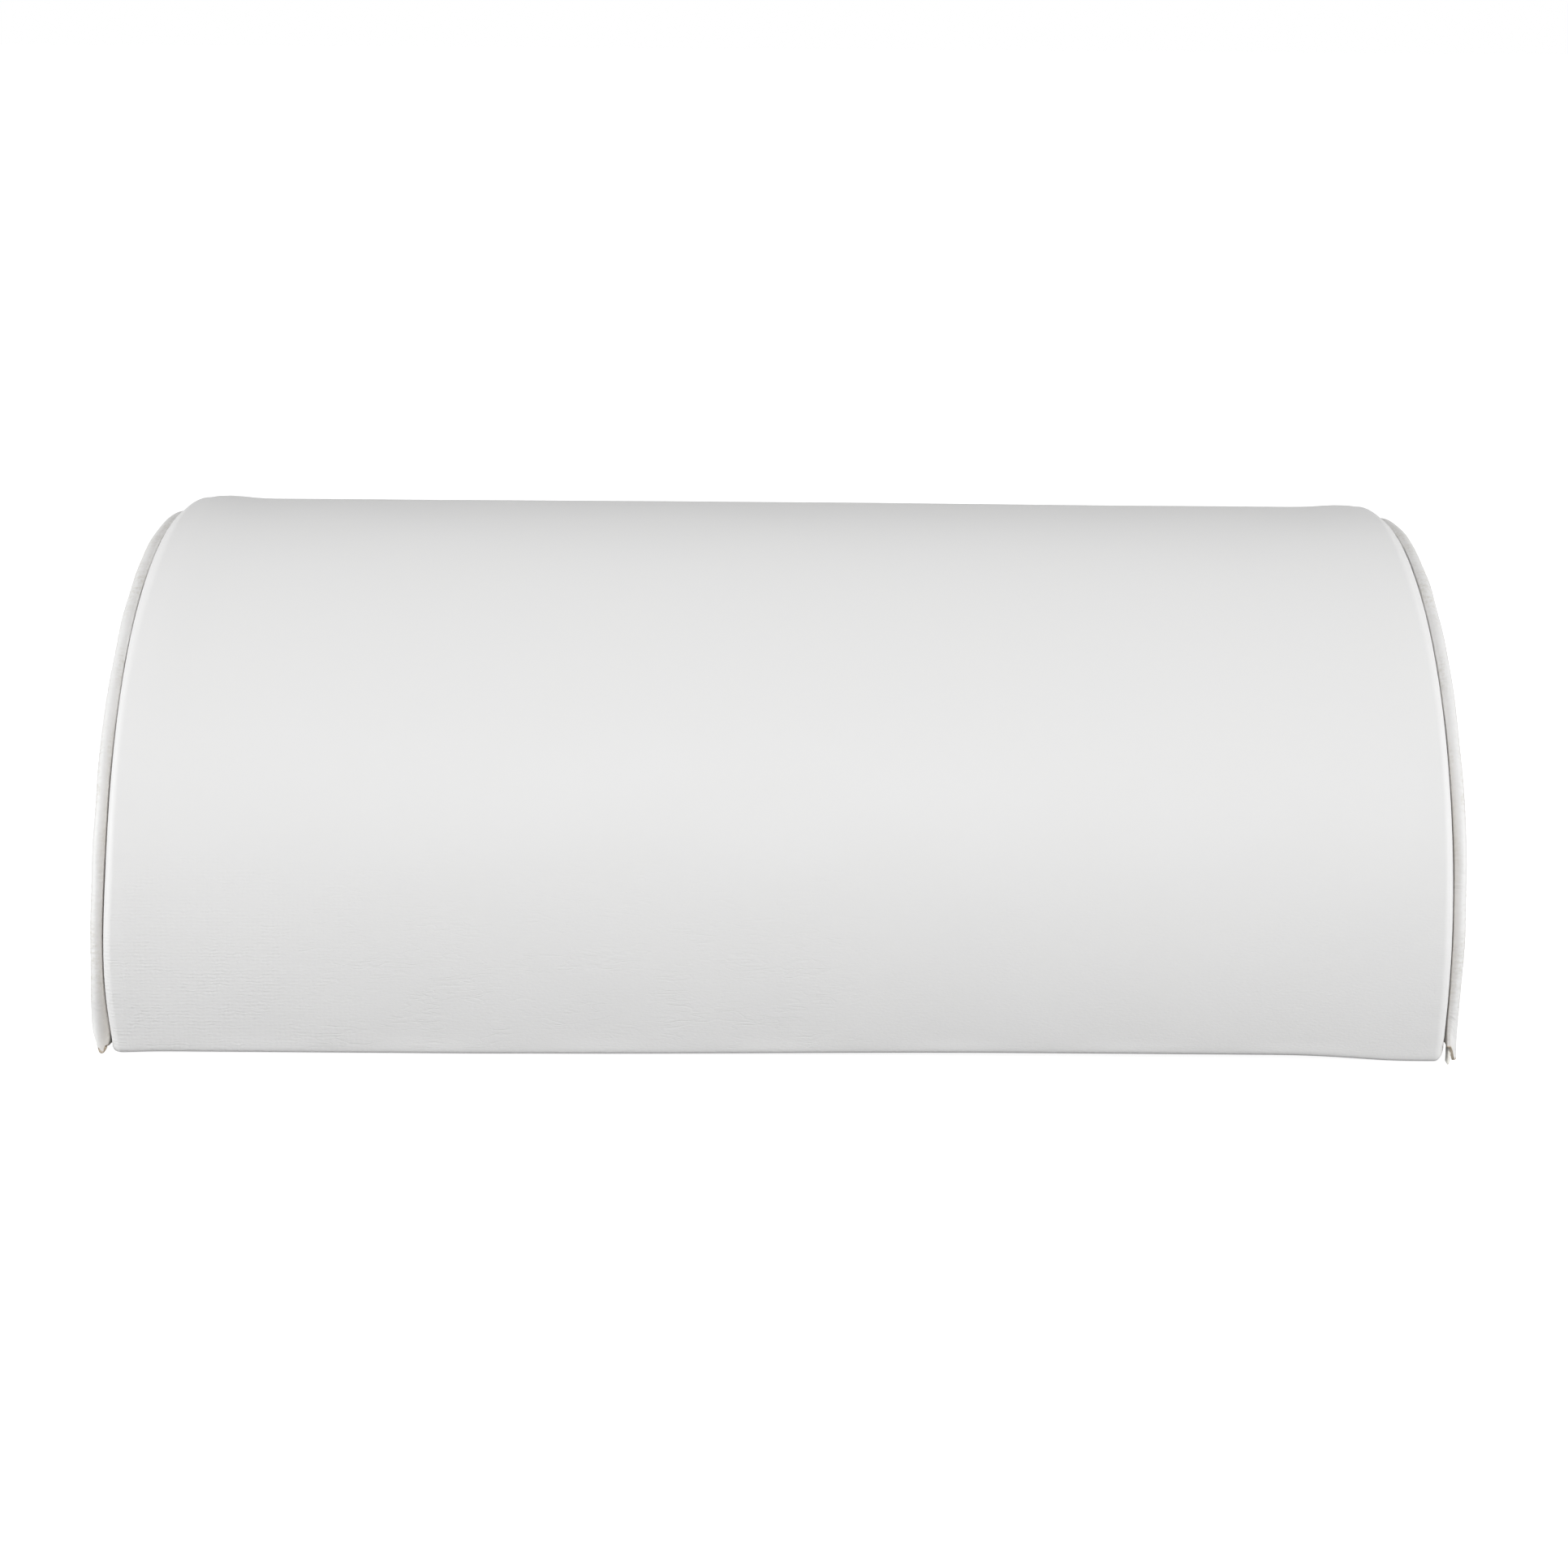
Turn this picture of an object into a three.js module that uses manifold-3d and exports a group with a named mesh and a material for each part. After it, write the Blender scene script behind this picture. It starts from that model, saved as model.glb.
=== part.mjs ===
// A half-round upholstered pad: a foam half cylinder glued to a plywood board, in a coated-fabric cover.
// The cover is an arch panel and two end panels, sewn together over a piping at each end of the arch.
// Its lower edges are turned under the board as hems and stapled, and a thin cloth closes the underside.
//
// Millimetres. +X runs along the arch, +Y from the front to the back, +Z up.
// The origin is the middle of the underside, which is also on the axis of the arch.

import * as THREE from "three";
import { mergeVertices } from "three/addons/utils/BufferGeometryUtils.js";
import Module from "manifold-3d";

const wasm = await Module();
wasm.setup();

// ---- Driving dimensions ----

const LENGTH = 300; // over the two pipings
const RADIUS = 100; // of the arch, outside the cover
const EDGE_RADIUS = 6.5; // rounding of the arch panel at each end, outside
const SEAM_DROP = 5.2; // from the top of the arch down to the middle of the piping
const ARCH_FACETS = 60; // around a full turn
const EDGE_FACETS = 4; // around the rounding of the arch panel

const SKIN = 1.0; // coated fabric of the cover
const SKIN_GAP = 0.3; // clearance between parts that touch
const HEM_WIDTH = 22; // cover turned under the board
const SEAM_ALLOWANCE = 5; // cloth inside the seam

const PIPING_RADIUS = 2.0; // outside the strip that wraps the cord
const PIPING_SKIN = 0.6; // thinner coated fabric of the strip
const PIPING_FACETS = 12; // around the strip
const CORD_FACETS = 10; // around the filler cord
const PIPING_END = 0.4; // height of the cut ends of the piping

const BOARD_THICKNESS = 9;
const BOARD_CORNER = 9; // cut off each corner of the board

const CLOTH_THICKNESS = 0.6; // non-woven cloth under the board
const CLOTH_INSET = 5.5; // from the outside of the pad to the edge of that cloth
const CLOTH_CORNER = 8; // cut off each corner of that cloth

const STAPLE_WIDTH = 10; // over the two legs
const STAPLE_LEG = 8; // over the crown
const WIRE_THICKNESS = 0.5;
const WIRE_WIDTH = 0.7;
const CROWN_GAP = 0.15; // cloth above a crown that is pressed into it
const HEM_STAPLE_INSET = 14; // from the outside of the pad
const CLOTH_STAPLE_INSET = 9;
const HEM_STAPLES_LONG = { count: 7, pitch: 38 };
const HEM_STAPLES_SHORT = { count: 4, pitch: 36 };
const CLOTH_STAPLES_LONG = { count: 6, pitch: 52 };
const CLOTH_STAPLES_SHORT = { count: 3, pitch: 50 };

// ---- Levels above the underside ----

const HEM_BOTTOM = CLOTH_THICKNESS + SKIN_GAP;
const HEM_TOP = HEM_BOTTOM + SKIN;
const BOARD_BOTTOM = HEM_TOP + SKIN_GAP;
const BOARD_TOP = BOARD_BOTTOM + BOARD_THICKNESS;
const FOAM_BOTTOM = BOARD_TOP + SKIN_GAP;
const CLOTH_CROWN = (CLOTH_THICKNESS - WIRE_THICKNESS) / 2; // underside of a crown in the cloth

// ---- Section through one end: x along the arch, r out from its axis ----

const DIAGONAL = Math.SQRT1_2;
const INWARD = new THREE.Vector2(-DIAGONAL, -DIAGONAL); // from the piping into the seam
const ACROSS = new THREE.Vector2(-DIAGONAL, DIAGONAL); // from the end panel's side to the arch panel's

const PIPING = new THREE.Vector2(
  LENGTH / 2 - PIPING_RADIUS,
  RADIUS - SEAM_DROP,
); // middle of the cord
const NECK = PIPING.clone().addScaledVector(INWARD, PIPING_RADIUS); // where the strip meets itself
const TAIL_OFFSET = SKIN_GAP / 2 + PIPING_SKIN / 2; // middle of a strip's tail from the seam's own line
const ALLOWANCE_OFFSET = TAIL_OFFSET + PIPING_SKIN / 2 + SKIN_GAP + SKIN / 2;
const SEAM_STEP = 1.3; // how far inside the neck the panels turn into the seam

// The arch panel's middle line turns into the seam where its rounding ends, and the end panel's at its rim.
const ARCH_TURN = seamPoint(ALLOWANCE_OFFSET + SKIN_GAP / 2, SEAM_STEP);
const END_TURN = seamPoint(-ALLOWANCE_OFFSET, SEAM_STEP);
const EDGE_MIDDLE = EDGE_RADIUS - SKIN / 2; // radius of the rounding's middle line
const EDGE_CENTRE = roundingCentre();
const END_MIDDLE = END_TURN.x; // middle of the end panel
const END_OUTSIDE = END_MIDDLE + SKIN / 2;
const CORE_END = END_MIDDLE - SKIN / 2 - SKIN_GAP; // end of the foam and of the board
const CORE_RADIUS = RADIUS - SKIN - SKIN_GAP;

function seamPoint(across, inward) {
  return NECK.clone()
    .addScaledVector(ACROSS, across)
    .addScaledVector(INWARD, inward);
}

// The rounding's middle line is tangent to the arch panel's flat run and passes through ARCH_TURN.
function roundingCentre() {
  const r = RADIUS - SKIN / 2 - EDGE_MIDDLE;
  const rise = ARCH_TURN.y - r;
  return new THREE.Vector2(
    ARCH_TURN.x - Math.sqrt(EDGE_MIDDLE ** 2 - rise ** 2),
    r,
  );
}

// Points on an arc of the end rounding, from its top down to the arch panel's turn, at any radius.
function roundingArc(radius) {
  const last = Math.atan2(
    ARCH_TURN.y - EDGE_CENTRE.y,
    ARCH_TURN.x - EDGE_CENTRE.x,
  );
  return Array.from({ length: EDGE_FACETS + 1 }, (_, i) => {
    const angle = Math.PI / 2 + (last - Math.PI / 2) * (i / EDGE_FACETS);
    return new THREE.Vector2(
      EDGE_CENTRE.x + radius * Math.cos(angle),
      EDGE_CENTRE.y + radius * Math.sin(angle),
    );
  });
}

// ---- From three.js geometry to solids and back ----

function solid(geometry) {
  const bare = geometry.index ? geometry.toNonIndexed() : geometry.clone();
  bare.deleteAttribute("normal");
  bare.deleteAttribute("uv");
  const merged = mergeVertices(bare, 1e-4);
  const corners = merged.index.array;
  const kept = [];
  for (let i = 0; i < corners.length; i += 3) {
    const [a, b, c] = corners.slice(i, i + 3);
    if (a !== b && b !== c && c !== a) kept.push(a, b, c);
  }
  const build = (triVerts) =>
    new wasm.Manifold(
      new wasm.Mesh({
        numProp: 3,
        vertProperties: merged.attributes.position.array,
        triVerts: new Uint32Array(triVerts),
      }),
    );
  const made = build(kept);
  return made.volume() > 0 ? made : build(kept.reverse());
}

function geometryOf(manifold) {
  const mesh = manifold.getMesh();
  const geometry = new THREE.BufferGeometry();
  geometry.setAttribute(
    "position",
    new THREE.BufferAttribute(mesh.vertProperties, mesh.numProp),
  );
  geometry.setIndex(new THREE.BufferAttribute(mesh.triVerts, 1));
  geometry.computeVertexNormals();
  return geometry;
}

// A flat outline in x and y, raised from one level to another.
function plate(outline, bottom, top) {
  const geometry = new THREE.ExtrudeGeometry(new THREE.Shape(outline), {
    depth: top - bottom,
    bevelEnabled: false,
  });
  return solid(geometry.translate(0, 0, bottom));
}

function block(width, depth, bottom, top) {
  const geometry = new THREE.BoxGeometry(width, depth, top - bottom);
  return solid(geometry.translate(0, 0, (bottom + top) / 2));
}

// A closed outline in x and r, turned around the arch's axis and cut off level at its base.
function arch(outline, base) {
  const profile = [...outline, outline[0]].map(
    (p) => new THREE.Vector2(p.y, p.x),
  );
  const turned = new THREE.LatheGeometry(profile, ARCH_FACETS).rotateZ(
    -Math.PI / 2,
  );
  return solid(turned).subtract(
    block(2 * LENGTH, 4 * RADIUS, -2 * RADIUS, base),
  );
}

// The outline of a strip of cloth of some thickness along an open middle line, with mitred turns.
function strip(line, thickness) {
  const side = (sign) =>
    line.map((point, i) => {
      const before = line[Math.max(i - 1, 0)];
      const after = line[Math.min(i + 1, line.length - 1)];
      const into = point.clone().sub(before).normalize();
      const out = after.clone().sub(point).normalize();
      const run = into.clone().add(out).normalize();
      const stretch = i > 0 && i < line.length - 1 ? run.dot(out) : 1;
      const normal = new THREE.Vector2(-run.y, run.x);
      return point
        .clone()
        .addScaledVector(normal, (sign * thickness) / 2 / stretch);
    });
  return [...side(1), ...side(-1).reverse()];
}

const mirrored = (points) =>
  points.map((p) => new THREE.Vector2(-p.x, p.y)).reverse();

function placed(manifoldOrGeometry, name, material) {
  const geometry = manifoldOrGeometry.isBufferGeometry
    ? manifoldOrGeometry
    : geometryOf(manifoldOrGeometry);
  const mesh = new THREE.Mesh(geometry, material);
  mesh.name = name;
  return mesh;
}

// ---- Materials ----

const finish = (color, roughness, metalness = 0) =>
  new THREE.MeshStandardMaterial({ color, roughness, metalness });
const WHITE_SKIN = finish(0xe9e9e8, 0.55);
const FOAM = finish(0xf2e6b8, 0.95);
const PLYWOOD = finish(0xcaa572, 0.7);
const CLOTH = finish(0x2b2b2d, 0.95);
const CORD = finish(0xf4f3ee, 0.8);
const WIRE = finish(0xb9bcc0, 0.35, 1.0);

// ---- Foam and board ----

// Everything inside the cover's rounding, as an outline in x and r that starts and ends on the axis.
function coreOutline() {
  const right = [
    ...roundingArc(EDGE_MIDDLE - SKIN / 2 - SKIN_GAP),
    new THREE.Vector2(CORE_END, END_TURN.y - SKIN),
    new THREE.Vector2(CORE_END, 0),
  ];
  return [...mirrored(right), ...right];
}

// The slot that the foam leaves around one seam, open towards the piping.
function seamSlot() {
  const half = ALLOWANCE_OFFSET + SKIN_GAP / 2 + SKIN / 2 + SKIN_GAP;
  const depth = SEAM_STEP + SEAM_ALLOWANCE + SKIN_GAP;
  return [
    seamPoint(half, -PIPING_RADIUS),
    seamPoint(half, depth),
    seamPoint(-half, depth),
    seamPoint(-half, -PIPING_RADIUS),
  ];
}

function foamCore() {
  return arch(coreOutline(), FOAM_BOTTOM)
    .subtract(arch(seamSlot(), 0))
    .subtract(arch(mirrored(seamSlot()), 0));
}

// A rectangle with its corners cut off at 45 degrees.
function cutRectangle(halfLength, halfDepth, corner) {
  const point = (sx, sy, dx, dy) =>
    new THREE.Vector2(sx * (halfLength - dx), sy * (halfDepth - dy));
  return [
    point(1, -1, corner, 0),
    point(1, -1, 0, corner),
    point(1, 1, 0, corner),
    point(1, 1, corner, 0),
    point(-1, 1, corner, 0),
    point(-1, 1, 0, corner),
    point(-1, -1, 0, corner),
    point(-1, -1, corner, 0),
  ];
}

function baseBoard() {
  const halfDepth =
    Math.sqrt(CORE_RADIUS ** 2 - BOARD_TOP ** 2) - SKIN_GAP;
  return plate(
    cutRectangle(CORE_END, halfDepth, BOARD_CORNER),
    BOARD_BOTTOM,
    BOARD_TOP,
  );
}

// ---- Cover ----

// The seam's inner cloth is clipped away at the board's level, where it would meet the board's corners.
function clippedSeam() {
  const half = ALLOWANCE_OFFSET + SKIN;
  const outline = [
    seamPoint(half, SEAM_STEP + SKIN),
    seamPoint(half, SEAM_STEP + 2 * SEAM_ALLOWANCE),
    seamPoint(-half, SEAM_STEP + 2 * SEAM_ALLOWANCE),
    seamPoint(-half, SEAM_STEP + SKIN),
  ];
  const above = block(2 * LENGTH, 4 * RADIUS, FOAM_BOTTOM, 2 * RADIUS);
  return arch(outline, -RADIUS / 2).subtract(above);
}

function clipped(made) {
  const right = clippedSeam();
  const left = solid(geometryOf(right).rotateZ(Math.PI));
  return made.subtract(right).subtract(left);
}

// The hem under the board's front edge: its ends are mitred along the seams.
function frontHem() {
  const inner = RADIUS - HEM_WIDTH;
  const right = [
    ...roundingArc(EDGE_MIDDLE),
    new THREE.Vector2(ARCH_TURN.x - (ARCH_TURN.y - inner), inner),
  ];
  const outline = [...mirrored(right), ...right].map(
    (p) => new THREE.Vector2(p.x, -p.y),
  );
  return plate(outline, HEM_BOTTOM, HEM_TOP);
}

// The hem under the board's right end.
function rightHem() {
  const inner = END_OUTSIDE - HEM_WIDTH;
  const half = END_TURN.y - (END_MIDDLE - inner);
  return plate(
    [
      new THREE.Vector2(inner, -half),
      new THREE.Vector2(END_MIDDLE, -END_TURN.y),
      new THREE.Vector2(END_MIDDLE, END_TURN.y),
      new THREE.Vector2(inner, half),
    ],
    HEM_BOTTOM,
    HEM_TOP,
  );
}

function archPanel() {
  const right = [
    ...roundingArc(EDGE_MIDDLE),
    ARCH_TURN.clone().addScaledVector(INWARD, SEAM_ALLOWANCE),
  ];
  const line = [...mirrored(right), ...right];
  const hem = frontHem();
  const backHem = solid(geometryOf(hem).rotateZ(Math.PI));
  return clipped(arch(strip(line, SKIN), HEM_BOTTOM)).add(hem).add(backHem);
}

function rightPanel() {
  const inside = END_MIDDLE - SKIN / 2;
  const rim = strip(
    [
      new THREE.Vector2(END_MIDDLE, 0),
      END_TURN,
      END_TURN.clone().addScaledVector(INWARD, SEAM_ALLOWANCE),
    ],
    SKIN,
  );
  // The strip's two ends on the axis close the disc, so that it starts and ends there.
  const outline = rim.map((p) =>
    Math.abs(p.y) < 1e-9
      ? new THREE.Vector2(p.x > END_MIDDLE ? END_OUTSIDE : inside, 0)
      : p,
  );
  return clipped(arch(outline, HEM_BOTTOM)).add(rightHem());
}

// ---- Piping ----

// The strip goes in along one side of the seam, round the cord, and out along the other.
function pipingStrip() {
  const middle = PIPING_RADIUS - PIPING_SKIN / 2;
  const opening = Math.asin(TAIL_OFFSET / middle);
  const back = (5 * Math.PI) / 4; // the way into the seam
  const line = [seamPoint(-TAIL_OFFSET, SEAM_ALLOWANCE)];
  for (let i = 0; i <= PIPING_FACETS; i++) {
    const angle =
      back + opening + (2 * Math.PI - 2 * opening) * (i / PIPING_FACETS);
    line.push(
      new THREE.Vector2(
        PIPING.x + middle * Math.cos(angle),
        PIPING.y + middle * Math.sin(angle),
      ),
    );
  }
  line.push(seamPoint(TAIL_OFFSET, SEAM_ALLOWANCE));
  return clipped(arch(strip(line, PIPING_SKIN), PIPING_END));
}

function pipingCord() {
  const radius = PIPING_RADIUS - PIPING_SKIN - SKIN_GAP;
  const outline = Array.from({ length: CORD_FACETS }, (_, i) => {
    const angle = (2 * Math.PI * i) / CORD_FACETS;
    return new THREE.Vector2(
      PIPING.x + radius * Math.cos(angle),
      PIPING.y + radius * Math.sin(angle),
    );
  });
  return arch(outline, PIPING_END);
}

// ---- Staples ----

// One staple in its own frame: the crown's underside is at z = 0, and the legs point up.
function stapleGeometry() {
  const half = STAPLE_WIDTH / 2;
  const shape = new THREE.Shape([
    new THREE.Vector2(-half, 0),
    new THREE.Vector2(half, 0),
    new THREE.Vector2(half, STAPLE_LEG),
    new THREE.Vector2(half - WIRE_THICKNESS, STAPLE_LEG),
    new THREE.Vector2(half - WIRE_THICKNESS, WIRE_THICKNESS),
    new THREE.Vector2(-half + WIRE_THICKNESS, WIRE_THICKNESS),
    new THREE.Vector2(-half + WIRE_THICKNESS, STAPLE_LEG),
    new THREE.Vector2(-half, STAPLE_LEG),
  ]);
  const geometry = new THREE.ExtrudeGeometry(shape, {
    depth: WIRE_WIDTH,
    bevelEnabled: false,
  });
  return geometry.translate(0, 0, -WIRE_WIDTH / 2).rotateX(Math.PI / 2);
}

// The room around one staple: a pocket for the crown and a hole for each leg.
function stapleRoom() {
  const wide = STAPLE_WIDTH + 2 * SKIN_GAP;
  const deep = WIRE_WIDTH + 2 * SKIN_GAP;
  const leg = block(
    WIRE_THICKNESS + 2 * SKIN_GAP,
    deep,
    0,
    STAPLE_LEG + SKIN_GAP,
  );
  const at = (STAPLE_WIDTH - WIRE_THICKNESS) / 2;
  return block(wide, deep, -WIRE_THICKNESS, WIRE_THICKNESS + CROWN_GAP)
    .add(solid(geometryOf(leg).translate(at, 0, 0)))
    .add(solid(geometryOf(leg).translate(-at, 0, 0)));
}

// One side's row of staples, counted from its left or front end.
function stapleRow(kind, side, { count, pitch }, inset, level) {
  const isLong = side === "front" || side === "back";
  const sign = side === "front" || side === "left" ? -1 : 1;
  const away = sign * ((isLong ? RADIUS : END_OUTSIDE) - inset);
  return Array.from({ length: count }, (_, i) => {
    const along = (i - (count - 1) / 2) * pitch;
    return {
      name: `${kind}_staple_${side}_${i + 1}`,
      x: isLong ? along : away,
      y: isLong ? away : along,
      turn: isLong ? 0 : Math.PI / 2,
      level,
    };
  });
}

function stapleRows(kind, long, short, inset, level) {
  return [
    ...stapleRow(kind, "front", long, inset, level),
    ...stapleRow(kind, "back", long, inset, level),
    ...stapleRow(kind, "left", short, inset, level),
    ...stapleRow(kind, "right", short, inset, level),
  ];
}

const STAPLES = [
  ...stapleRows(
    "hem",
    HEM_STAPLES_LONG,
    HEM_STAPLES_SHORT,
    HEM_STAPLE_INSET,
    HEM_BOTTOM,
  ),
  ...stapleRows(
    "cloth",
    CLOTH_STAPLES_LONG,
    CLOTH_STAPLES_SHORT,
    CLOTH_STAPLE_INSET,
    CLOTH_CROWN,
  ),
];

const stapleRooms = (() => {
  const room = geometryOf(stapleRoom());
  return STAPLES.map((s) => ({
    ...s,
    room: solid(room.clone().rotateZ(s.turn).translate(s.x, s.y, s.level)),
  }));
})();

// Makes room in a piece for the staples that go through it.
function stapled(made, staples = stapleRooms) {
  return staples.reduce((rest, { room }) => rest.subtract(room), made);
}

// ---- Cloth under the board ----

function dustCloth() {
  const outline = cutRectangle(
    END_OUTSIDE - CLOTH_INSET,
    RADIUS - CLOTH_INSET,
    CLOTH_CORNER,
  );
  return stapled(
    plate(outline, 0, CLOTH_THICKNESS),
    stapleRooms.filter((s) => s.level === CLOTH_CROWN),
  );
}

// ---- Assembly ----

const pad = new THREE.Group();
pad.name = "half_round_pad";

pad.add(
  placed(foamCore(), "foam_core", FOAM),
  placed(stapled(baseBoard()), "base_board", PLYWOOD),
  placed(stapled(archPanel()), "cover_panel", WHITE_SKIN),
  placed(dustCloth(), "dust_cloth", CLOTH),
);

const endPieces = [
  ["end_panel", geometryOf(rightPanel()), WHITE_SKIN],
  ["piping_strip", geometryOf(pipingStrip()), WHITE_SKIN],
  ["piping_cord", geometryOf(pipingCord()), CORD],
];
for (const [name, geometry, material] of endPieces) {
  const turned = geometry.clone().rotateZ(Math.PI);
  pad.add(
    placed(stapled(solid(geometry)), `${name}_right`, material),
    placed(stapled(solid(turned)), `${name}_left`, material),
  );
}

const staple = stapleGeometry();
for (const { name, x, y, turn, level } of STAPLES) {
  const mesh = placed(staple, name, WIRE);
  mesh.position.set(x, y, level);
  mesh.rotation.z = turn;
  pad.add(mesh);
}

export default pad;
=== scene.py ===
# A half-round bolster: a foam half cylinder on a plywood board, in a white coated-fabric cover.
# The cover is an arch panel and two end panels, with a piping sewn into each seam between them.
# Its hems are stapled under the board, and a black non-woven cloth closes the underside.
# Metres. +X runs along the arch, +Y from the front to the back, +Z up, and the arch's axis is the X axis.

import contextlib
import math

import bpy
import numpy as np
from mathutils import Euler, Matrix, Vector


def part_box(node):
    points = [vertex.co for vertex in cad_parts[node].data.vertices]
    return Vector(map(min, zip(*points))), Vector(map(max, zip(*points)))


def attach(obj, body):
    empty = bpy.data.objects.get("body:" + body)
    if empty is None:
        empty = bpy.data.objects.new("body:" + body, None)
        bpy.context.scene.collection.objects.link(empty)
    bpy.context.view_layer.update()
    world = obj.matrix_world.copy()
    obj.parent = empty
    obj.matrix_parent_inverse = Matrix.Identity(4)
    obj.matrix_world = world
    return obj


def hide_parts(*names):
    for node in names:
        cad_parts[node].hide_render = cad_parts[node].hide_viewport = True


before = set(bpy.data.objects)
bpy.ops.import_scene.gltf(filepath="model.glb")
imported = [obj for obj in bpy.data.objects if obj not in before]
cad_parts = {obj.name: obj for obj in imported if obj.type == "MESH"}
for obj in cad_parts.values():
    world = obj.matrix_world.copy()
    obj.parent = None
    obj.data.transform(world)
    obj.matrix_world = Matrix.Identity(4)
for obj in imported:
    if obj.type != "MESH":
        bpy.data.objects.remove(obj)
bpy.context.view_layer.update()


# ---- Foam and board ----
# The core is a half cylinder cut from one block of open-cell polyurethane foam.
# It is glued to a plywood board that keeps the base flat, and both are hidden once the cover is on.


class Socket:
    """An output of a shader node. Operators on it add Math nodes, and node() adds any other node."""

    def __init__(self, tree, output=None):
        self.tree = tree
        self.output = output

    def node(self, kind, settings=None, inputs=None, output=0):
        made = self.tree.nodes.new(kind)
        for name, value in (settings or {}).items():
            setattr(made, name, value)
        for name, value in (inputs or {}).items():
            if isinstance(value, Socket):
                self.tree.links.new(value.output, made.inputs[name])
            else:
                made.inputs[name].default_value = value
        return Socket(self.tree, made.outputs[output] if made.outputs else None)

    def maths(self, operation, *values):
        return self.node("ShaderNodeMath", {"operation": operation}, dict(enumerate(values)))

    def __add__(self, other):
        return self.maths("ADD", self, other)

    def __radd__(self, other):
        return self.maths("ADD", other, self)

    def __sub__(self, other):
        return self.maths("SUBTRACT", self, other)

    def __rsub__(self, other):
        return self.maths("SUBTRACT", other, self)

    def __mul__(self, other):
        return self.maths("MULTIPLY", self, other)

    def __rmul__(self, other):
        return self.maths("MULTIPLY", other, self)

    def __abs__(self):
        return self.maths("ABSOLUTE", self)


def begin_material(name):
    """A new material, and the Socket that its first nodes come from."""
    material = bpy.data.materials.new(name)
    material.use_nodes = True
    material.node_tree.nodes.clear()
    return material, Socket(material.node_tree)


def end_material(start, colour, roughness, height=None, constants=None):
    """Adds the shader. height is in metres, and constants are set on the shader's own sockets."""
    inputs = {"Base Color": colour, "Roughness": roughness, **(constants or {})}
    if height is not None:
        inputs["Normal"] = start.node("ShaderNodeBump", {}, {"Height": height, "Distance": 1.0})
    shader = start.node("ShaderNodeBsdfPrincipled", {}, inputs)
    start.node("ShaderNodeOutputMaterial", {}, {"Surface": shader})


def stretched(place, sizes):
    """A place counted in units of the three sizes."""
    return place.node("ShaderNodeMapping", {}, {"Vector": place, "Scale": [1 / size for size in sizes]})


def noise(place, sizes, detail=2.0):
    """Soft noise from about 0.25 to 0.75, with blotches of the given sizes."""
    inputs = {"Vector": stretched(place, sizes), "Scale": 1.0, "Detail": detail}
    return place.node("ShaderNodeTexNoise", {}, inputs)


def blend(share, first, second):
    """From the first colour where share is 0 to the second where it is 1."""
    return share.node("ShaderNodeMix", {"data_type": "RGBA"}, {0: share, 6: first, 7: second}, output=2)


def between(value, low, high):
    """0 where value is under low, 1 where it is over high, and smooth between them."""
    inputs = {"Value": value, "From Min": low, "From Max": high}
    return value.node("ShaderNodeMapRange", {"interpolation_type": "SMOOTHSTEP"}, inputs)


def parts(place, axes):
    """Single coordinates of a place, one for each letter of axes."""
    return [place.node("ShaderNodeSeparateXYZ", {}, {"Vector": place}, output=axis) for axis in axes]


foam_cell = 1 / 900


def foam_material():
    """Pale yellow open-cell foam: round cells about a millimetre across, with painted shade in their
    hollows.
    """
    material, start = begin_material("open_cell_foam")
    place = start.node("ShaderNodeTexCoord", output="Object")
    cells = start.node("ShaderNodeTexVoronoi", {}, {"Vector": place, "Scale": 1 / foam_cell})
    shade = noise(place, (0.02, 0.02, 0.02))
    colour = blend(shade, (0.86, 0.76, 0.46, 1), (0.93, 0.86, 0.6, 1))
    # Painted shade: a darker brown where the cells' bump dips.
    cell_shade = (0.6, 0.5, 0.26, 1)
    end_material(start, blend(between(cells, 0.1, 0.6), cell_shade, colour), 0.95, cells * 0.0004)
    return material


def plywood_material():
    """Birch plywood: long grain on the faces, and darker glue lines between the plies on the edges."""
    ply, glue_line = 0.0018, 0.0002
    material, start = begin_material("birch_plywood")
    place = start.node("ShaderNodeTexCoord", output="Object")
    grain = noise(place, (0.06, 0.0012, 0.01), 5.0)
    layer = start.maths("PINGPONG", parts(place, "Z")[0], ply / 2)
    glue = 1 - between(layer, 0.0, glue_line)
    colour = blend(grain, (0.5, 0.33, 0.17, 1), (0.76, 0.58, 0.36, 1))
    glue_brown = (0.22, 0.12, 0.06, 1)
    end_material(start, blend(glue * 0.6, colour, glue_brown), 0.7, grain * 0.00008)
    return material


foam_gap = 0.0008
foam_short = 0.0035
foam_edge = 0.005


def name_new(name):
    """Names the piece that an operator has just added."""
    piece = bpy.context.object
    piece.name = name
    piece.data.name = name
    return piece


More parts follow.
